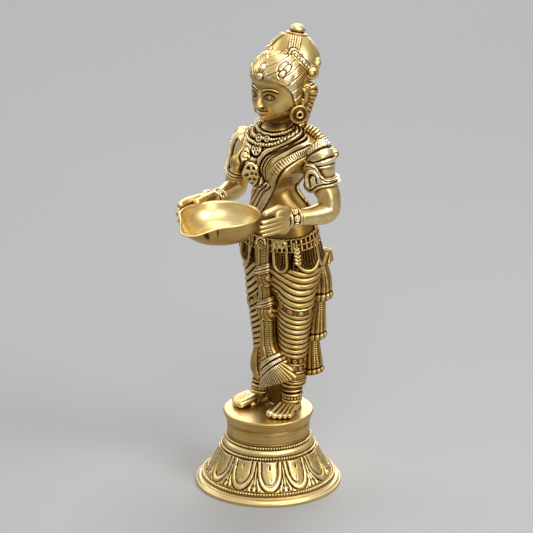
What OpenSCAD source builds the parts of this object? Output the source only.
// Cast brass oil lamp: a standing figure that holds a lipped oil bowl in both hands,
// on a round plinth that is bolted to a hollow lotus base.
// Front is -Y, the figure's left is +X, and the floor is z = 0. Sizes are in millimetres.
// Every module works from the base's centre line, and placed() sets the pieces in the lamp's frame.

/* [Base] */
// Diameter of the base at the floor
base_d = 94.4; // [88:0.2:110]
// Height of the base from the floor to the plinth seam
base_h = 43; // [40:0.5:54]
// Height of the upright rim at the floor
rim_h = 2.3; // [1.5:0.1:3.5]
// Width of the plain sloping flange inside the rim
flange_w = 3.7; // [2.5:0.1:6]
// Rise of the flange
flange_rise = 2; // [1:0.1:3]
// Diameter of the drum at the top of the base
drum_d = 53.8; // [48:0.2:56]
// Height of the drum
drum_h = 9.4; // [7:0.2:14]
// Wall thickness of the hollow base
base_wall = 3; // [2:0.1:4]
// Thickness of the web under the plinth
web_t = 6; // [4:0.2:8]
// Radius of the beaded rings
bead_r = 1.2; // [0.8:0.05:1.5]
// Number of lotus petals round the bell
petals = 12; // [8:1:16]
// How far the lobe of a petal stands out of the bell
petal_out = 0.95; // [0.5:0.05:1.3]

/* [Plinth] */
// Diameter of the plinth at its top edge
plinth_d = 58.4; // [57:0.2:70]
// Height of the plinth
plinth_h = 7.3; // [6:0.1:12]
// Rounding of the plinth's top edge
plinth_round = 1.4; // [0.5:0.1:2]

/* [Fixing] */
// Diameter of the hold-down stud
stud_d = 8; // [6:0.5:10]
// Length of the stud that screws into the plinth
stud_grip = 5; // [4:0.1:5.5]
// Free length of stud under the tightened nut
stud_free = 10; // [6:0.5:12]
// Radial clearance of the stud in the base and in the washer
stud_gap = 0.2; // [0.1:0.05:0.5]
// Radial clearance of the thread in the nut and in the plinth
thread_gap = 0.05; // [0.02:0.01:0.1]
// Outside diameter of the washer
washer_d = 22; // [18:0.5:28]
// Thickness of the washer
washer_t = 1.6; // [1:0.1:3]
// Width of the nut across its flats
nut_w = 13; // [12.5:0.5:17]
// Height of the nut
nut_h = 6.5; // [5:0.1:8]

/* [Legs] */
// Height from the soles to the waist joint
leg_h = 115.7; // [108:0.1:130]
// How far the body stands behind the plinth's centre
set_back = 13; // [10:0.2:16]
// Width across the hips
hip_w = 58; // [54:0.2:62]
// Depth of the hips
hip_depth = 36; // [33:0.2:39]
// Spread between the middles of the thighs
thigh_gap = 24.6; // [22:0.2:27]
// Diameter of a thigh at the top
thigh_d = 27; // [24:0.2:29]
// Diameter of a knee
knee_d = 21.8; // [20:0.2:24]
// Diameter of a leg at the hem
hem_d = 17.6; // [17:0.2:20]
// Height of the hem above the soles
hem_h = 17; // [15:0.2:20]
// Diameter of an ankle
ankle_d = 11.4; // [10:0.2:13]
// Spread between the middles of the ankles
ankle_gap = 26; // [23:0.2:29]
// Distance between two folds of the cloth
fold_pitch = 5.4; // [5:0.1:7]
// Depth of a fold
fold_depth = 1; // [0.5:0.1:1.5]
// Length of a foot
foot_l = 31; // [27:0.5:34]
// Width of a foot at the toes
foot_w = 15; // [13:0.2:17]
// Outward turn of a foot
foot_turn = 15; // [5:1:20]
// Diameter of the tenon under each foot
tenon_d = 5; // [4:0.2:6]
// Length of the tenon under each foot
tenon_l = 4.5; // [3:0.1:5.5]

/* [Torso] */
// Height from the waist joint to the neck joint
torso_h = 76; // [70:0.2:84]
// Width of the waist
waist_w = 29; // [27:0.2:34]
// Depth of the waist
waist_depth = 24; // [22:0.2:28]
// Width of the chest
chest_w = 48; // [44:0.2:52]
// Depth of the chest
chest_depth = 32; // [29:0.2:35]
// Width of the torso at the shoulders, without the arms
shoulder_w = 60; // [56:0.2:64]
// Diameter of the neck
neck_d = 17; // [15:0.2:19]
// How far the bust stands out
bust_out = 9; // [6:0.2:11]

/* [Head] */
// Turn of the head to its right
head_turn = 4; // [0:1:20]
// Height from the neck joint to the top of the skull
head_h = 41; // [38:0.2:45]
// Width of the head
head_w = 34.6; // [32:0.2:36]
// Depth of the head
head_depth = 36; // [34:0.2:38]
// Length of the crown along its own axis, with its finial
crown_l = 31; // [28:0.2:36]
// Width of the crown
crown_w = 36; // [34:0.2:38]
// Backward tilt of the crown
crown_tilt = 14.5; // [10:0.5:26]
// Diameter of the finial's disc
finial_d = 11.4; // [9:0.2:13]
// Diameter of an ear disc
earring_d = 11.5; // [9:0.2:13]
// Thickness of an ear disc
earring_t = 3.4; // [2.5:0.1:4.5]

/* [Arms] */
// Diameter of an upper arm
upper_arm_d = 16.6; // [14:0.2:18]
// Diameter of an elbow
elbow_d = 15; // [13:0.2:17]
// Diameter of a wrist
wrist_d = 9.2; // [8:0.2:10.5]
// Distance of an elbow from the middle plane
elbow_out = 38; // [35:0.2:41]
// Height of the elbows above the soles
elbow_h = 139.7; // [137:0.1:144]
// How far the armlet and the bangle stand out
band_out = 1.3; // [0.8:0.1:1.8]
// Diameter of a finger
finger_d = 4.3; // [3.8:0.1:4.8]

/* [Bowl] */
// Diameter of the bowl at its rim
bowl_d = 52.4; // [50:0.2:54]
// Depth of the bowl outside
bowl_depth = 16; // [14:0.2:19]
// Wall thickness of the bowl
bowl_wall = 2; // [1.6:0.1:2.6]
// Diameter of the bowl's flat underside
bowl_foot_d = 26; // [20:0.5:32]
// How far the pinched lip reaches past the round rim
lip_l = 11.5; // [8:0.5:14]
// Sideways turn of the lip to the figure's left
lip_turn = 7; // [0:1:12]
// Distance of the bowl's middle in front of the body axis
bowl_reach = 59.8; // [58:0.2:63]
// Height of the bowl's rim above the soles
bowl_up = 143.7; // [142:0.1:147]
// Place of a hand on the rim, from straight sideways to the back
grip_angle = 36; // [32:1:40]
// Diameter of the rivet that holds the bowl in a hand
rivet_d = 2.6; // [2:0.1:3.2]

/* [Cloth and trim] */
// Width of the front sash
sash_w = 10.5; // [9:0.2:12]
// Length of the front sash
sash_l = 92; // [88:0.5:95]
// Width of the front sash at its fringed end
sash_end_w = 24; // [20:0.5:27]
// Height of the girdle over the waist joint
girdle_h = 9; // [7:0.2:12]
// How far the girdle stands out
girdle_out = 1.8; // [1.2:0.1:2.5]
// Length of a side tail
tail_l = 82; // [76:0.5:86]
// Width of a side tail at the end of each step
tail_w = 12; // [10:0.2:14]
// How far a side tail stands out from the leg
tail_out = 11; // [9:0.2:12]
// Diameter of the pegs inside the waist, the neck and the shoulders
peg_d = 6; // [5:0.2:7]
// Length of each peg
peg_l = 14; // [10:0.5:16]
// Radial clearance of the pegs, tenons and rivets
peg_gap = 0.15; // [0.1:0.05:0.3]

/* [Hidden] */
$fn = 64;
brass = [0.78, 0.62, 0.27];
dark_brass = [0.62, 0.47, 0.2];
steel = [0.6, 0.6, 0.6];

// Levels
sole_z = base_h + plinth_h;
hem_z = sole_z + hem_h;
joint_z = sole_z + leg_h;
neck_z = joint_z + torso_h;
web_z = base_h - web_t;
nut_top_z = web_z - washer_t;
stud_end_z = nut_top_z - nut_h - stud_free;
rim_z = sole_z + bowl_up;
bowl_y = set_back - bowl_reach;
lip_tip_y = bowl_y - (bowl_d / 2 + lip_l) * cos(lip_turn);
frame_y = round(-(lip_tip_y + base_d / 2)) / 2;

// Sculpting steps
leg_sides = 21;
body_sides = 30;
torso_sides = 44;
tube_sides = 13;

// Number of the table row before k, for a table sorted by its first column
function row_before(tab, k, i = 0) =
    i >= len(tab) - 2 || k <= tab[i + 1][0] ? i : row_before(tab, k, i + 1);

// Slope of column c at row i, from its two neighbours
function slope(tab, i, c) =
    let (a = tab[max(i - 1, 0)], b = tab[min(i + 1, len(tab) - 1)]) (b[c] - a[c]) / (b[0] - a[0]);

// Column c of a table at key k, on a smooth curve through the rows
function smooth(tab, k, c) =
    let (i = row_before(tab, k), a = tab[i], b = tab[i + 1], h = b[0] - a[0],
         u = max(0, min(1, (k - a[0]) / h)))
    (2 * u ^ 3 - 3 * u ^ 2 + 1) * a[c] + (u ^ 3 - 2 * u ^ 2 + u) * h * slope(tab, i, c)
    + (3 * u ^ 2 - 2 * u ^ 3) * b[c] + (u ^ 3 - u ^ 2) * h * slope(tab, i + 1, c);

// All columns after the first at key k
function smooth_row(tab, k) = [for (c = [1 : len(tab[0]) - 1]) smooth(tab, k, c)];

// A bump of height 1 at 0 that fades out over about w on each side
function bump(x, w) = exp(-(x / w) ^ 2);

// Smallest turn between two angles
function turn(a, b) = let (d = (a - b) % 360) d > 180 ? d - 360 : d < -180 ? d + 360 : d;

// Closed solid through rings of points that have the same number of points, each counter-clockwise from above
module loft(rings) {
    n = len(rings[0]);
    last = len(rings) - 1;
    points = [for (r = rings) each r];
    sides = [for (i = [0 : last - 1], j = [0 : n - 1])
        let (a = i * n + j, b = i * n + (j + 1) % n)
        each [[a, a + n, b + n], [a, b + n, b]]];
    caps = [[for (j = [0 : n - 1]) j], [for (j = [n - 1 : -1 : 0]) last * n + j]];
    polyhedron(points, concat(sides, caps), convexity = 6);
}

// Level ring at height z: half-width a, half-depth bf to the front and bb to the back
function level_ring(z, cx, cy, a, bf, bb, n) =
    [for (k = [0 : n - 1]) let (t = 360 * k / n) [cx + a * cos(t), cy + (sin(t) < 0 ? bf : bb) * sin(t), z]];

// Points on a smooth curve through a path's rows of x, y, z and radius, with per steps a stretch
function path_table(path) = [for (i = [0 : len(path) - 1]) concat([i], path[i])];
function path_points(path, per) =
    let (tab = path_table(path), last = (len(path) - 1) * per)
    [for (i = [0 : last]) smooth_row(tab, i / per)];

function unit(v) = v / norm(v);
function part_of(p) = [p[0], p[1], p[2]];

// Ring of n points round point p, square to direction d
function cross_ring(p, d, r, n) =
    let (side = unit(cross(d, abs(d[2]) < 0.9 ? [0, 0, 1] : [0, 1, 0])), up = cross(side, d))
    [for (k = [0 : n - 1]) let (t = 360 * k / n) p + r * (cos(t) * up - sin(t) * side)];

// Round tube along a path of x, y, z and radius rows; frames carry over so that it never twists
function carried(side, d) = unit(side - (side * d) * d);
function tube_frames(pts, first_side, i = 0, side = undef) =
    i >= len(pts) ? [] :
    let (a = part_of(pts[max(i - 1, 0)]), b = part_of(pts[min(i + 1, len(pts) - 1)]), d = unit(b - a),
         s = carried(side == undef ? first_side : side, d))
    concat([[d, s]], tube_frames(pts, first_side, i + 1, s));
module tube(pts, n, first_side = [0, 1, 0]) {
    frames = tube_frames(pts, first_side);
    loft([for (i = [0 : len(pts) - 1])
        let (p = part_of(pts[i]), s = frames[i][1], u = cross(frames[i][0], s))
        [for (k = [0 : n - 1]) let (t = 360 * k / n) p + pts[i][3] * (cos(t) * s + sin(t) * u)]]);
}

// Moves the base's centre so that the origin is under the middle of the whole lamp
module placed() {
    translate([0, frame_y, 0]) children();
}

// Joins what it holds into one sculpted skin
module one_skin() {
    resize([0, 0, 0]) children();
}

module mirrored(side) {
    scale_x = side < 0 ? 1 : 0;
    mirror([scale_x, 0, 0]) children();
}

// Base

bell_foot_z = rim_h + flange_rise + 2 * bead_r + 1;
bell_foot_r = base_d / 2 - flange_w - 2 * bead_r;
roll_h = 3.8;
bell_top_z = base_h - drum_h - 4 * bead_r - roll_h;
bell_top_r = drum_d / 2 + 4;
bell_bow = 0.9;
bell_steps = 10;

// Outer radius of the bell at share t of its height
function bell_r(t) = bell_foot_r + (bell_top_r - bell_foot_r) * t - bell_bow * sin(180 * t);
function bell_z(t) = bell_foot_z + (bell_top_z - bell_foot_z) * t;

module base_outline() {
    rim_r = base_d / 2;
    rim_ease = 0.4;
    roll_z = bell_top_z + 2 * bead_r;
    roll_r = drum_d / 2 + 2.4;
    roll_bulge = 0.7;
    polygon(concat(
        [[0, 0], [rim_r, 0], [rim_r, rim_h - rim_ease], [rim_r - rim_ease, rim_h],
         [rim_r - flange_w, rim_h + flange_rise]],
        [for (i = [0 : bell_steps]) [bell_r(i / bell_steps), bell_z(i / bell_steps)]],
        [[roll_r, bell_top_z + bead_r]],
        [for (i = [0 : 6]) [roll_r - 1.6 * i / 6 + roll_bulge * sin(30 * i), roll_z + roll_h * i / 6]],
        [[drum_d / 2, base_h - drum_h], [drum_d / 2, base_h], [0, base_h]]));
    translate([bell_foot_r + bead_r, bell_foot_z - bead_r]) circle(bead_r);
    translate([bell_top_r - 0.8, bell_top_z + bead_r]) circle(bead_r);
    translate([drum_d / 2 + 0.2, base_h - drum_h - bead_r]) circle(bead_r);
}

module base_hollow_outline() {
    polygon(concat(
        [[0, -1], [base_d / 2 - base_wall - 0.5, -1], [base_d / 2 - base_wall - 0.5, rim_h]],
        [for (i = [0 : bell_steps]) [bell_r(i / bell_steps) - base_wall, bell_z(i / bell_steps) - base_wall / 2]],
        [[drum_d / 2 - base_wall, web_z], [0, web_z]]));
}

// Lotus petals that hang down the slope of the bell: a border, and a higher lobe on it
petal_turn = -48.5;
slope_l = norm([bell_foot_r - bell_top_r, bell_foot_z - bell_top_z]);
slope_a = acos((bell_foot_r - bell_top_r) / slope_l);
border_half = 0.95 * PI * bell_top_r / petals;
lobe_half = 0.62 * border_half;

// Point of the bell at share t of its height, moved out by d
function bell_skin(t, d) = [bell_r(t) + d * sin(slope_a), bell_z(t) + d * cos(slope_a)];

// Outline of a petal, with the length down the slope along X
module petal_outline(half) {
    straight = 0.41 * slope_l;
    polygon(concat([[-1, half], [-1, -half]],
        [for (i = [0 : 10]) let (t = 18 * i - 90) [straight + 1.5 * half * cos(t), half * sin(t)]]));
}

// Skin over the bell from share t0 to t1, kept inside the outlines of the petals
module petal_ring(half, out, deep, t0, t1) {
    steps = 6;
    intersection() {
        rotate_extrude($fn = 96) polygon(concat(
            [for (i = [0 : steps]) bell_skin(t0 + (t1 - t0) * i / steps, out)],
            [for (i = [steps : -1 : 0]) bell_skin(t0 + (t1 - t0) * i / steps, -deep)]));
        for (i = [0 : petals - 1])
            rotate([0, 0, petal_turn + 360 * i / petals]) translate([bell_top_r, 0, bell_top_z])
                rotate([0, slope_a, 0]) translate([0, 0, -3]) linear_extrude(7) petal_outline(half);
    }
}

module lotus_base() {
    color(brass) placed() difference() {
        union() {
            rotate_extrude($fn = 96) difference() {
                base_outline();
                base_hollow_outline();
            }
            petal_ring(border_half, 0.58 * petal_out, 1, 0.05, 0.97);
            petal_ring(lobe_half, petal_out, 1.3, 0.08, 0.955);
        }
        translate([0, 0, web_z - 1]) cylinder(r = stud_d / 2 + stud_gap, h = web_t + 2);
    }
}

// Plinth and its fixing

foot_mid = [ankle_gap / 2 + 1.5, 1];
seam_r = drum_d / 2 + 0.3;

module plinth() {
    top_r = plinth_d / 2;
    color(brass) placed() difference() {
        translate([0, 0, base_h]) rotate_extrude($fn = 96) polygon(concat(
            [[0, 0], [seam_r - 0.4, 0], [seam_r, 0.5]],
            [for (i = [0 : 6]) [top_r - plinth_round + plinth_round * cos(15 * i),
                                plinth_h - plinth_round + plinth_round * sin(15 * i)]],
            [[0, plinth_h]]));
        translate([0, 0, base_h - 1]) cylinder(r = stud_d / 2 + thread_gap, h = stud_grip + 1);
        for (s = [-1, 1])
            translate([s * foot_mid[0], foot_mid[1], sole_z - tenon_l - 0.3])
                cylinder(r = tenon_d / 2 + peg_gap, h = tenon_l + 1);
    }
}

module hold_down_stud() {
    tip = 0.8;
    color(steel) placed() union() {
        translate([0, 0, stud_end_z + tip]) cylinder(d = stud_d, h = base_h + stud_grip - stud_end_z - tip - 0.2);
        translate([0, 0, stud_end_z]) cylinder(d1 = stud_d - 2 * tip, d2 = stud_d, h = tip);
    }
}

module hold_down_washer() {
    color(steel) placed() translate([0, 0, nut_top_z]) difference() {
        cylinder(d = washer_d, h = washer_t);
        translate([0, 0, -1]) cylinder(r = stud_d / 2 + stud_gap, h = washer_t + 2);
    }
}

module hold_down_nut() {
    color(steel) placed() translate([0, 0, nut_top_z - nut_h]) difference() {
        cylinder(d = nut_w / cos(30), h = nut_h, $fn = 6);
        translate([0, 0, -1]) cylinder(r = stud_d / 2 + thread_gap, h = nut_h + 2);
    }
}

// Legs

thigh_z = joint_z - 30;
knee_z = sole_z + 54;
// Rows of a leg: height, distance from the middle plane, distance behind the plinth's centre, radius
leg_rows = [
    [sole_z + 5, ankle_gap / 2, set_back - 5, ankle_d / 2 - 0.3],
    [sole_z + 9, ankle_gap / 2, set_back - 4.5, ankle_d / 2],
    [hem_z - 1, ankle_gap / 2 - 0.8, set_back - 3.4, ankle_d / 2 + 1],
    [hem_z, ankle_gap / 2 - 1.4, set_back - 2.4, hem_d / 2 - 0.8],
    [hem_z + 6, ankle_gap / 2 - 2.2, set_back - 1.4, hem_d / 2],
    [knee_z - 14, ankle_gap / 2 - 2.8, set_back - 0.8, (hem_d + knee_d) / 4],
    [knee_z, thigh_gap / 2 - 1.4, set_back - 0.8, knee_d / 2],
    [thigh_z, thigh_gap / 2, set_back - 0.4, thigh_d / 2],
    [joint_z - 12, thigh_gap / 2 - 1, set_back, thigh_d / 2 - 1.5]];

// Cloth folds hang lowest on the outer front of a leg and rise to the sash; each fold has three rings of its own
fold_low_angle = -20;
fold_foot_z = hem_z + 4;
fold_top_z = thigh_z + 2;
folds = floor((fold_top_z - fold_foot_z) / fold_pitch);
function fold_rise(z, t) =
    let (u = max(0, min(1, (z - fold_foot_z) / (fold_top_z - fold_foot_z))))
    (3 + 9 * u) * (1 - cos(t - fold_low_angle)) / 2;

function leg_ring(z, out, follow) =
    [for (k = [0 : leg_sides - 1])
        let (t = 360 * k / leg_sides, zt = z + follow * fold_rise(z, t), r = smooth_row(leg_rows, zt))
        [r[0] + (r[2] + out) * cos(t), r[1] + (r[2] + out) * sin(t), zt]];

module leg_skin() {
    ankle_z = leg_rows[0][0];
    top_z = leg_rows[len(leg_rows) - 1][0];
    loft(concat(
        [for (u = [0, 0.4, 0.8, 0.99, 1]) leg_ring(ankle_z + (hem_z - ankle_z) * u, 0, 0)],
        [leg_ring(hem_z + 1, 0.6, 0), leg_ring(hem_z + 2.6, 0.6, 0.3)],
        [for (i = [0 : folds - 1], part = [[0, -0.6], [0.35, 0.4], [0.75, 0.3]])
            leg_ring(fold_foot_z + (i + part[0]) * fold_pitch, part[1] * fold_depth, 1)],
        [leg_ring(top_z - 1, 0, 0), leg_ring(top_z, 0, 0)]));
}

// Rows of the hips: height, half-width, half-depth to the front, half-depth to the back
hip_rows = [
    [joint_z - 40, hip_w / 2 - 8, hip_depth / 2 - 7, hip_depth / 2 - 5],
    [joint_z - 30, hip_w / 2 - 2, hip_depth / 2 - 2.5, hip_depth / 2 - 1],
    [joint_z - 18, hip_w / 2, hip_depth / 2, hip_depth / 2 + 1],
    [joint_z - 8, hip_w / 2 - 0.6, hip_depth / 2 + 0.6, hip_depth / 2],
    [joint_z, hip_w / 2 - 3, hip_depth / 2 - 0.4, hip_depth / 2 - 1.4]];

module hips_skin() {
    steps = 12;
    z0 = hip_rows[0][0];
    loft([for (i = [0 : steps])
        let (z = z0 + (joint_z - z0) * i / steps, r = smooth_row(hip_rows, z))
        level_ring(z, 0, set_back, r[0], r[1], r[2], body_sides)]);
}

// Foot along its own axis, with the heel at -Y + and the toes to -Y, sole at z = 0
module foot() {
    toe_r = foot_w / 8;
    heel_r = 5;
    ball = -foot_l * 0.3;
    instep_h = 8.4;
    $fn = 12;
    hull() {
        translate([0, foot_l / 2 - heel_r, 0]) cylinder(r = heel_r, h = 3);
        translate([0, foot_l / 2 - heel_r - 1, 0]) cylinder(r1 = heel_r, r2 = ankle_d / 2, h = instep_h);
    }
    hull() {
        translate([0, foot_l / 2 - heel_r - 1, 0]) cylinder(r1 = heel_r, r2 = ankle_d / 2 - 1, h = instep_h);
        translate([-foot_w / 2 + 3, ball, 0]) cylinder(r = 3, h = 3.8);
        translate([foot_w / 2 - 3, ball + 3, 0]) cylinder(r = 3, h = 3);
    }
    for (i = [0 : 4]) {
        // The great toe is the first one, on the inner side
        grow = i == 0 ? 1.25 : 1 - 0.08 * i;
        x = -foot_w / 2 + toe_r + i * foot_w / 5.1;
        hull() {
            translate([x, ball + 1 + i, toe_r * grow]) sphere(toe_r * grow);
            translate([x, -foot_l / 2 + toe_r + 1.5 * i, toe_r * grow]) sphere(toe_r * grow);
        }
    }
}

module leg_and_foot() {
    leg_skin();
    translate([foot_mid[0], foot_mid[1], sole_z]) rotate([0, 0, foot_turn]) foot();
    translate([foot_mid[0], foot_mid[1], sole_z - tenon_l]) cylinder(d = tenon_d, h = tenon_l + 2, $fn = 32);
}

module legs_skin() {
    for (s = [-1, 1])
        mirrored(s) leg_and_foot();
    hips_skin();
}

module legs() {
    color(brass) placed() one_skin() difference() {
        legs_skin();
        waist_peg_solid(peg_gap);
        below_soles();
    }
}

// Everything under the soles but the tenons, so that the feet stand flat
module below_soles() {
    difference() {
        translate([-plinth_d, -plinth_d, sole_z - 20]) cube([2 * plinth_d, 2 * plinth_d, 20]);
        for (s = [-1, 1])
            translate([s * foot_mid[0], foot_mid[1], sole_z - 21]) cylinder(d = tenon_d + 0.2, h = 22);
    }
}

// Front sash with two banded steps and a fringed, turned end
sash_top_z = joint_z - 2;
sash_rows = [
    [0, 0, sash_w / 2 + 1, 4.2],
    [17, 0, sash_w / 2 - 0.4, 4.2],
    [22, 0, sash_w / 2 + 1, 5],
    [26, 0, sash_w / 2 - 1, 4],
    [41, 0, sash_w / 2 - 0.2, 4.2],
    [46, 0, sash_w / 2 + 1.4, 5],
    [52, 0, sash_w / 2 - 0.6, 3.8],
    [sash_l - 22, 0.5, sash_w / 2, 3.8],
    [sash_l - 14, 2.5, sash_end_w / 3, 4.4],
    [sash_l - 5, 5, sash_end_w / 2 - 1, 4.2],
    [sash_l, 6, sash_end_w / 2, 3]];
// The sash lies along the front of the hips and of the legs
sash_front_rows = [[0, hip_depth / 2 - 1], [20, hip_depth / 2 - 1.5], [45, 14], [70, 13.5], [sash_l, 15]];
sash_corner = 0.7;

function sash_ring(s) =
    let (r = smooth_row(sash_rows, s), y = set_back - smooth(sash_front_rows, s, 1))
    [for (k = [0 : 19]) let (t = 360 * k / 20, c = cos(t), n = sin(t))
        [r[0] + r[1] * sign(c) * abs(c) ^ sash_corner, y + r[2] * sign(n) * abs(n) ^ sash_corner,
         sash_top_z - s]];

module sash_skin() {
    steps = 24;
    loft([for (i = [steps : -1 : 0]) sash_ring(sash_l * i / steps)]);
}

module front_sash() {
    color(brass) placed() one_skin() difference() {
        sash_skin();
        legs_skin();
        girdle_skin();
    }
}

// Side tail: three pleated steps that widen downwards
tail_top_z = joint_z - 10;
// Where the steps begin and end, as shares of the tail's length
tail_ends = [0, 0.385, 0.715, 1];
tail_steps = len(tail_ends) - 1;
knot_l = 7;
function tail_step(s) = [for (i = [0 : tail_steps - 1]) if (s < tail_ends[i + 1] * tail_l) i][0];
// Share of a step that lies above s; the knot at the top is the widest place
function tail_share(s) =
    let (i = tail_step(s), from = tail_ends[i] * tail_l, to = tail_ends[i + 1] * tail_l)
    s < knot_l ? 1.1 : (s - from) / (to - from);
function tail_ring(s) =
    let (z = tail_top_z - s, leg = smooth_row(leg_rows, min(z, joint_z - 12)), a = 45, u = tail_share(s),
         out = tail_out * (0.62 + 0.38 * u), half = tail_w / 2 * (0.55 + 0.45 * u), mid_r = leg[2] + out / 2 - 1)
    [for (k = [0 : 11]) let (t = 360 * k / 12, w = (out / 2 + 1) * cos(t), v = half * sin(t))
        [leg[0] + (mid_r + w) * cos(a) - v * sin(a), leg[1] + (mid_r + w) * sin(a) + v * cos(a), z]];

module tail_skin() {
    edge = 0.4;
    stops = [for (i = [0 : tail_steps - 1])
        let (from = tail_ends[i] * tail_l, step = tail_ends[i + 1] * tail_l - from)
        each [for (u = [edge, knot_l - 0.3, knot_l + 0.3, 0.65 * step, step - edge]) from + u]];
    loft([for (i = [len(stops) - 1 : -1 : 0]) tail_ring(stops[i])]);
}

module sash_tail(side) {
    color(brass) placed() one_skin() difference() {
        mirrored(side) tail_skin();
        legs_skin();
        girdle_skin();
    }
}
module left_sash_tail() { sash_tail(1); }
module right_sash_tail() { sash_tail(-1); }

// Girdle over the waist joint, with a round clasp in front
module girdle_skin() {
    steps = 6;
    z0 = joint_z - girdle_h * 0.7;
    loft([for (i = [0 : steps])
        let (u = i / steps, z = z0 + girdle_h * u, grow = girdle_out * (0.55 + 0.45 * sin(180 * u)),
             r = body_row(z))
        level_ring(z, 0, set_back, r[0] + grow, r[1] + grow, r[2] + grow, body_sides)]);
    clasp_r = 5.4;
    translate([0, set_back - hip_depth / 2 + 1, joint_z - 2.5])
        rotate([90, 0, 0]) cylinder(r1 = clasp_r, r2 = clasp_r - 1.4, h = girdle_out + 2.6, $fn = 32);
}

module waist_girdle() {
    color(dark_brass) placed() one_skin() difference() {
        girdle_skin();
        legs_skin();
        torso_skin();
    }
}

// Torso

waist_up = 33;
// Rows of the torso above the waist joint: height, half-width, half-depth to the front and to the back
torso_rows = [
    [0, hip_w / 2 - 3, hip_depth / 2 - 0.4, hip_depth / 2 - 1.4],
    [waist_up * 0.3, waist_w / 2 + 9, waist_depth / 2 + 4.4, waist_depth / 2 + 4],
    [waist_up * 0.64, waist_w / 2 + 6.5, waist_depth / 2 + 1.8, waist_depth / 2 + 2],
    [waist_up, waist_w / 2, waist_depth / 2, waist_depth / 2 - 0.4],
    [waist_up + 9, waist_w / 2 + 3.5, waist_depth / 2 + 1.4, waist_depth / 2 + 1.4],
    [torso_h - 27, chest_w / 2, chest_depth / 2, chest_depth / 2],
    [torso_h - 17, shoulder_w / 2 - 3, chest_depth / 2 - 1.4, chest_depth / 2 - 1],
    [torso_h - 11, shoulder_w / 2 - 2.4, chest_depth / 2 - 3.4, chest_depth / 2 - 3],
    [torso_h - 6, neck_d / 2 + 9, chest_depth / 2 - 5.4, chest_depth / 2 - 5],
    [torso_h - 3, neck_d / 2 + 2.4, neck_d / 2 + 1.4, neck_d / 2 + 1.6],
    [torso_h, neck_d / 2, neck_d / 2, neck_d / 2]];

// Half-sizes of the body at height z, above or below the waist joint
function body_row(z) = z < joint_z ? smooth_row(hip_rows, z) : smooth_row(torso_rows, z - joint_z);

bust_angle = 42;
bust_z = joint_z + torso_h - 30;
function bust(t, z) =
    bust_out * bump(z - bust_z, 9.5) * (bump(turn(t, 270 - bust_angle), 24) + bump(turn(t, 270 + bust_angle), 24));

// The waist sways forwards and to the figure's right
function sway(z) = bump(z - joint_z - waist_up, 12) * [-1.8, -3.5];

// Dress and jewellery in relief: each row is an angle from the front and a share of the torso's height
border_line = [[70, 0.784], [51.5, 0.75], [35, 0.666], [29, 0.55], [13.5, 0.412], [-15, 0.25], [-28, 0.15]];
cloth_line = [[72, 0.926], [35, 0.876], [23, 0.829], [13.5, 0.787], [5, 0.753], [-3.5, 0.708], [-10, 0.638],
    [-12.5, 0.561], [-4, 0.503]];
garland_line = [[-34, 0.789], [-30.5, 0.734], [-27, 0.679], [-21.5, 0.626], [-23.5, 0.558], [-26.5, 0.487]];
necklace_line = [[39, 0.892], [24, 0.861], [15, 0.837], [6.5, 0.82], [-3, 0.812], [-17.5, 0.809], [-31, 0.814],
    [-41, 0.829], [-51, 0.868]];
pendant_at = [-16, 0.762];

function on_torso(t, z) =
    let (r = body_row(z), mid = sway(z) + [0, set_back], b = bust(t, z))
    [mid[0] + (r[0] + 0.35 * b) * cos(t), mid[1] + ((sin(t) < 0 ? r[1] : r[2]) + b) * sin(t), z];
function torso_stop(row) = on_torso(270 + row[0], joint_z + torso_h * row[1]);
function torso_line(rows) = [for (p = path_points(rows, 2)) torso_stop(p)];
border_pts = torso_line(border_line);
cloth_pts = torso_line(cloth_line);
garland_pts = torso_line(garland_line);
necklace_pts = torso_line(necklace_line);

// Distance of a point from a line of points
function away(p, a, b) = let (d = b - a, u = max(0, min(1, (p - a) * d / (d * d)))) norm(p - a - u * d);
function line_away(p, pts) = min([for (i = [0 : len(pts) - 2]) away(p, pts[i], pts[i + 1])]);
// A ridge of height 1 that falls off between distances a and b
function ridge(d, a, b) = max(0, min(1, (b - d) / (b - a)));

function torso_relief(p) = max(
    1.1 * ridge(line_away(p, border_pts), 2.2, 3.6),
    1.3 * ridge(line_away(p, cloth_pts), 0.8, 2.6),
    1.1 * ridge(line_away(p, garland_pts), 2.2, 4.4),
    1.4 * ridge(line_away(p, necklace_pts), 1.6, 3.4),
    1.4 * ridge(norm(p - torso_stop(pendant_at)), 2.4, 4.2));

function torso_ring(z) =
    [for (k = [0 : torso_sides - 1])
        let (t = 360 * k / torso_sides, p = on_torso(t, z)) p + torso_relief(p) * [cos(t), sin(t), 0]];

// Rings lie closer together where the torso carries relief
module torso_skin() {
    low = 0.4;
    loft(concat(
        [for (i = [0 : 6]) torso_ring(joint_z + torso_h * low * i / 7)],
        [for (i = [0 : 19]) torso_ring(joint_z + torso_h * (low + (1 - low) * i / 19))]));
}

module torso() {
    color(brass) placed() one_skin() difference() {
        torso_skin();
        waist_peg_solid(peg_gap);
        neck_peg_solid(peg_gap);
        shoulder_peg_solids(peg_gap);
    }
}

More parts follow.
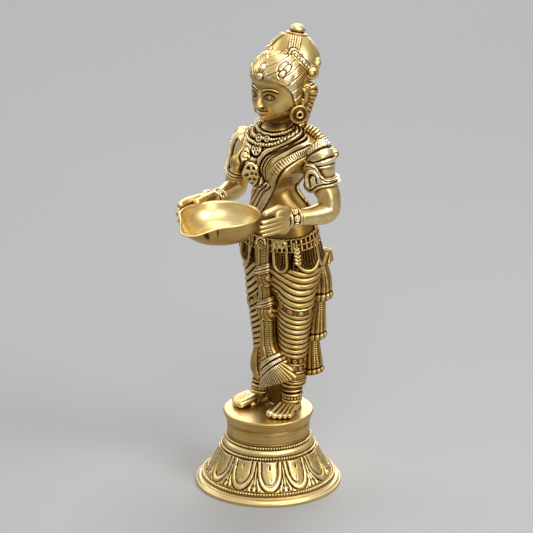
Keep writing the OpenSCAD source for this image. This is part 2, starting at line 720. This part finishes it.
// Pegs hidden in the joints between the castings
module waist_peg_solid(gap) {
    translate([0, set_back, joint_z - peg_l / 2 - gap]) cylinder(d = peg_d + 2 * gap, h = peg_l + 2 * gap, $fn = 32);
}
module neck_peg_solid(gap) {
    translate([0, set_back, neck_z - peg_l / 2 - gap]) cylinder(d = peg_d + 2 * gap, h = peg_l + 2 * gap, $fn = 32);
}
shoulder_z = neck_z - 16;
shoulder_peg_x = shoulder_w / 2 - 3;
module shoulder_peg_solids(gap) {
    for (s = [-1, 1])
        translate([s * shoulder_peg_x, set_back - 0.6, shoulder_z]) rotate([0, 90, 0])
            cylinder(d = peg_d + 2 * gap, h = peg_l * 0.8 + 2 * gap, center = true, $fn = 32);
}
module waist_peg() { color(steel) placed() waist_peg_solid(0); }
module neck_peg() { color(steel) placed() neck_peg_solid(0); }
module shoulder_pegs() { color(steel) placed() shoulder_peg_solids(0); }

// Head

head_y = set_back - 2.6;
// Rows of the head above the neck joint: height, half-width, half-depth to the front and to the back
head_rows = [
    [0, neck_d / 2 - 0.3, neck_d / 2 - 0.3, neck_d / 2 + 0.6],
    [2.4, neck_d / 2 - 0.5, neck_d / 2 + 0.6, neck_d / 2 + 1.4],
    [4.4, neck_d / 2 + 0.8, head_depth / 2 - 4, neck_d / 2 + 3],
    [8, head_w / 2 - 4, head_depth / 2 - 2, head_depth / 2 - 4],
    [14, head_w / 2 - 1.2, head_depth / 2 - 0.8, head_depth / 2 - 1.4],
    [head_h - 19, head_w / 2, head_depth / 2 - 0.8, head_depth / 2 + 0.6],
    [head_h - 14.5, head_w / 2 + 0.4, head_depth / 2 - 1.2, head_depth / 2 + 1.4],
    [head_h - 12, head_w / 2 + 1.8, head_depth / 2 + 0.2, head_depth / 2 + 2],
    [head_h - 6, head_w / 2 - 0.6, head_depth / 2 - 2.6, head_depth / 2],
    [head_h - 1.8, head_w / 2 - 7, head_depth / 2 - 9, head_depth / 2 - 6],
    [head_h, 3, 3, 3]];

nose_out = 2.6;
nose_z = neck_z + 13;
function nose(t, z) = nose_out * bump(turn(t, 270), 10) * (bump(z - nose_z, 2.4) + 0.55 * bump(z - nose_z - 4, 3.4));

// The head, crown and ear discs are all turned together
module head_turned() {
    translate([0, head_y, 0]) rotate([0, 0, -head_turn]) translate([0, -head_y, 0]) children();
}

ear_back = 4;
// Lock of hair behind an ear, from a knot of flowers down to the shoulder: x, y, z and radius
lock_path = [
    [head_w / 2 - 3, head_y + 11, neck_z + 25, 3],
    [head_w / 2 - 1.2, head_y + 12, neck_z + 20.5, 4.4],
    [head_w / 2 - 3.2, head_y + 13, neck_z + 14, 3.2],
    [head_w / 2 - 5.4, head_y + 12.4, neck_z + 7, 3.2],
    [head_w / 2 - 6.4, head_y + 10.6, neck_z - 2, 2.4]];
module hair_lock() {
    tube(path_points(lock_path, 2), 10);
}
// Two rolled curls at the foot of the crown
module side_curls() {
    hull() {
        translate([head_w / 2 - 3, head_y + 12.8, neck_z + head_h - 9]) sphere(5, $fn = 12);
        translate([head_w / 2 - 4, head_y + 18.6, neck_z + head_h - 4]) sphere(3.8, $fn = 12);
    }
}

module head_skin() {
    head_turned() {
        skull_skin();
        for (s = [-1, 1])
            mirrored(s) {
                hair_lock();
                side_curls();
            }
    }
}

module skull_skin() {
    steps = 21;
    loft([for (i = [0 : steps])
        let (z = neck_z + head_h * i / steps, r = smooth_row(head_rows, z - neck_z))
        [for (k = [0 : body_sides - 1])
            let (t = 360 * k / body_sides)
            [r[0] * cos(t), head_y + ((sin(t) < 0 ? r[1] : r[2]) + nose(t, z)) * sin(t), z]]]);
    for (s = [-1, 1])
        translate([s * (head_w / 2 - 0.4), head_y - 0.5 + ear_back, neck_z + 18]) rotate([0, 90, 0])
            cylinder(d1 = 9, d2 = 6.4, h = 2.4, center = true, $fn = 20);
}

module head() {
    color(brass) placed() one_skin() difference() {
        head_skin();
        neck_peg_solid(peg_gap);
        torso_skin();
    }
}

// Crown of bound hair that leans back, with a disc and a knob on top
crown_r = crown_w / 2;
finial_r = finial_d / 2;
crown_foot = [0, head_y + crown_r * 0.55, neck_z + head_h - crown_l * 0.37];
crown_rows = [
    [0, crown_r * 0.867],
    [crown_l * 0.13, crown_r * 0.967],
    [crown_l * 0.29, crown_r],
    [crown_l * 0.45, crown_r * 0.911],
    [crown_l * 0.58, crown_r * 0.767],
    [crown_l * 0.71, crown_r * 0.533],
    [crown_l * 0.774, finial_r * 0.97],
    [crown_l * 0.806, finial_r * 0.75],
    [crown_l * 0.839, finial_r],
    [crown_l * 0.884, finial_r * 0.93],
    [crown_l * 0.916, finial_r * 0.72],
    [crown_l * 0.974, finial_r * 0.51],
    [crown_l, finial_r * 0.14]];

module crown_skin() {
    steps = 20;
    sides = 22;
    head_turned() translate(crown_foot) rotate([-crown_tilt, 0, 0])
        loft([for (i = [0 : steps])
            let (s = crown_l * i / steps, r = smooth(crown_rows, s, 1))
            level_ring(s, 0, 0, r, r, r, sides)]);
}

module crown() {
    color(brass) placed() one_skin() difference() {
        crown_skin();
        head_skin();
    }
}

// Ear disc on a short stem under the ear
earring_z = neck_z + 8.4;
module earring(side) {
    stem_d = 3;
    x = head_w / 2 + 0.4;
    y = head_y - 1.5 + ear_back;
    color(brass) placed() one_skin() difference() {
        head_turned() mirrored(side) {
            translate([x, y, earring_z]) rotate([0, 90, 0])
                cylinder(d = earring_d, h = earring_t, center = true, $fn = 28);
            translate([x, y, earring_z]) rotate([0, 90, 0])
                cylinder(d = earring_d * 0.42, h = earring_t + 1.6, center = true, $fn = 20);
            translate([x - 0.4, y, earring_z]) cylinder(d = stem_d, h = 8, $fn = 16);
        }
        head_skin();
        torso_skin();
    }
}
module left_earring() { earring(1); }
module right_earring() { earring(-1); }

// Bowl

lip_sides = 34;
// Reach of the lip past the round rim at angle t
function lip(t) = lip_l * bump(turn(t, 270 + lip_turn), 22);
// Rows of the bowl wall: height share, radius share between the underside and the rim
bowl_rows = [[0, 0], [0.12, 0.34], [0.35, 0.66], [0.65, 0.88], [1, 1]];
function bowl_r(u, inset) =
    bowl_foot_d / 2 - inset + (bowl_d / 2 - bowl_foot_d / 2) * smooth(bowl_rows, u, 1);
lip_drop = 4;
function bowl_ring(u, inset, floor_z) =
    [for (k = [0 : lip_sides - 1])
        let (t = 360 * k / lip_sides, out = lip(t) * u ^ 2, r = bowl_r(u, inset) + out,
             top = rim_z - lip_drop * lip(t) / lip_l)
        [r * cos(t), bowl_y + r * sin(t), floor_z + (top - floor_z) * u]];
bowl_floor_z = rim_z - bowl_depth;

module bowl_solid() {
    steps = 7;
    loft([for (i = [0 : steps]) bowl_ring(i / steps, 0, bowl_floor_z)]);
}
module bowl_skin() {
    steps = 7;
    loft(concat(
        [for (i = [0 : steps]) bowl_ring(i / steps, 0, bowl_floor_z)],
        [for (i = [steps : -1 : 0]) bowl_ring(i / steps, bowl_wall, bowl_floor_z + bowl_wall)]));
}

module lamp_bowl() {
    color(brass) placed() one_skin() difference() {
        bowl_skin();
        for (s = [-1, 1])
            mirrored(s) rivet_shank(peg_gap);
    }
}

// Rivets through the bowl wall into the palms, square to the sloping wall
rivet_drop = 5.5;
rivet_u = 1 - rivet_drop / bowl_depth;
rivet_wall_r = bowl_r(rivet_u, 0);
rivet_tilt = atan((bowl_r(rivet_u + 0.1, 0) - bowl_r(rivet_u - 0.1, 0)) / (0.2 * bowl_depth));
rivet_l = 7;
rivet_head_t = 1;
rivet_head_in = bowl_wall + 0.8;
module along_grip() {
    translate([0, bowl_y, rim_z - rivet_drop]) rotate([0, 0, grip_angle])
        translate([rivet_wall_r, 0, 0]) rotate([0, 90 + rivet_tilt, 0]) children();
}
module rivet_shank(gap) {
    along_grip() translate([0, 0, -rivet_head_in])
        cylinder(r = rivet_d / 2 + gap, h = rivet_head_in + rivet_l + gap, $fn = 24);
}
module bowl_rivets() {
    color(dark_brass) placed() for (s = [-1, 1])
        mirrored(s) union() {
            rivet_shank(0);
            along_grip() translate([0, 0, -rivet_head_in - rivet_head_t]) cylinder(d = 2 * rivet_d, h = rivet_head_t);
        }
}

// Arms

// Middle of the left palm, outside the bowl wall
palm_out = 7;
palm_r = rivet_wall_r + palm_out;
palm = [palm_r * cos(grip_angle), bowl_y + palm_r * sin(grip_angle), rim_z - rivet_drop];
elbow = [elbow_out, set_back - 0.5, sole_z + elbow_h];
shoulder = [shoulder_w / 2 - 1.5, set_back - 0.6, shoulder_z];
wrist = [palm[0] + 5.6, palm[1] + 14, palm[2] + 1.2];
upper_r = upper_arm_d / 2;
elbow_r = elbow_d / 2;
wrist_r = wrist_d / 2;
arm_path = [
    concat(shoulder + [-3, 0, 2], [upper_r - 1.6]),
    concat(shoulder + [2.3, 0.2, -3.7], [upper_r - 1.1]),
    concat((shoulder + elbow) / 2 + [1, 1.4, 1], [upper_r - 0.3]),
    concat(elbow + [-0.4, 1.6, 9], [elbow_r - 0.1]),
    concat(elbow, [elbow_r]),
    concat(elbow * 0.66 + wrist * 0.34 + [0.6, 0, -1.4], [elbow_r * 0.62 + wrist_r * 0.38]),
    concat(wrist, [wrist_r]),
    concat(palm + [1.4, 4, 0.4], [wrist_r - 0.6])];
arm_per = 6;
// Bands: place along the path in rows, half-length in rows
arm_bands = [[1.2, 0.13], [1.65, 0.1], [2.7, 0.1], [5.9, 0.09]];
function band(u) = band_out * max([for (b = arm_bands) exp(-((u - b[0]) / b[1]) ^ 4)]);

module arm_tube() {
    pts = path_points(arm_path, arm_per);
    tube([for (i = [0 : len(pts) - 1]) concat(part_of(pts[i]), [pts[i][3] + band(i / arm_per)])], tube_sides);
}

// Hand that closes round the rim: the fingers lie along the outside and the thumb on top
module hand() {
    $fn = 10;
    r = finger_d / 2;
    hull() {
        translate(palm + [0.4, 1, 3.4]) sphere(4.6);
        translate(palm + [0.4, 1, -4]) sphere(4.4);
        translate(palm + [3, 8, 1]) sphere(4.6);
    }
    for (i = [0 : 3]) {
        z = palm[2] + 5.4 - i * finger_d * 0.95;
        bend = grip_angle - 18;
        short = i == 0 || i == 3 ? 1 : 0;
        knuckle = [palm[0] + 2, palm[1] - 1, z];
        middle = [(palm_r - 1) * cos(bend + 12), bowl_y + (palm_r - 1) * sin(bend + 12), z];
        tip = [(palm_r - 2.6) * cos(bend - 6 + 4 * short), bowl_y + (palm_r - 2.6) * sin(bend - 6 + 4 * short), z];
        hull() {
            translate(knuckle) sphere(r);
            translate(middle) sphere(r);
        }
        hull() {
            translate(middle) sphere(r);
            translate(tip) sphere(r * 0.9);
        }
    }
    thumb_tip = [(palm_r - 7.4) * cos(grip_angle - 14), bowl_y + (palm_r - 7.4) * sin(grip_angle - 14), rim_z + r - 0.3];
    thumb_mid = palm + [-2.6, -0.6, 7.6];
    hull() {
        translate(palm + [0.6, 3, 4]) sphere(r + 0.6);
        translate(thumb_mid) sphere(r + 0.1);
    }
    hull() {
        translate(thumb_mid) sphere(r + 0.1);
        translate(thumb_tip) sphere(r - 0.1);
    }
}

module arm(side) {
    color(brass) placed() one_skin() difference() {
        mirrored(side) {
            arm_tube();
            hand();
        }
        torso_skin();
        bowl_solid();
        shoulder_peg_solids(peg_gap);
        mirrored(side) rivet_shank(peg_gap);
    }
}
module left_arm() { arm(1); }
module right_arm() { arm(-1); }

lotus_base();
plinth();
hold_down_stud();
hold_down_washer();
hold_down_nut();
legs();
front_sash();
left_sash_tail();
right_sash_tail();
waist_girdle();
waist_peg();
torso();
shoulder_pegs();
neck_peg();
head();
crown();
left_earring();
right_earring();
left_arm();
right_arm();
lamp_bowl();
bowl_rivets();
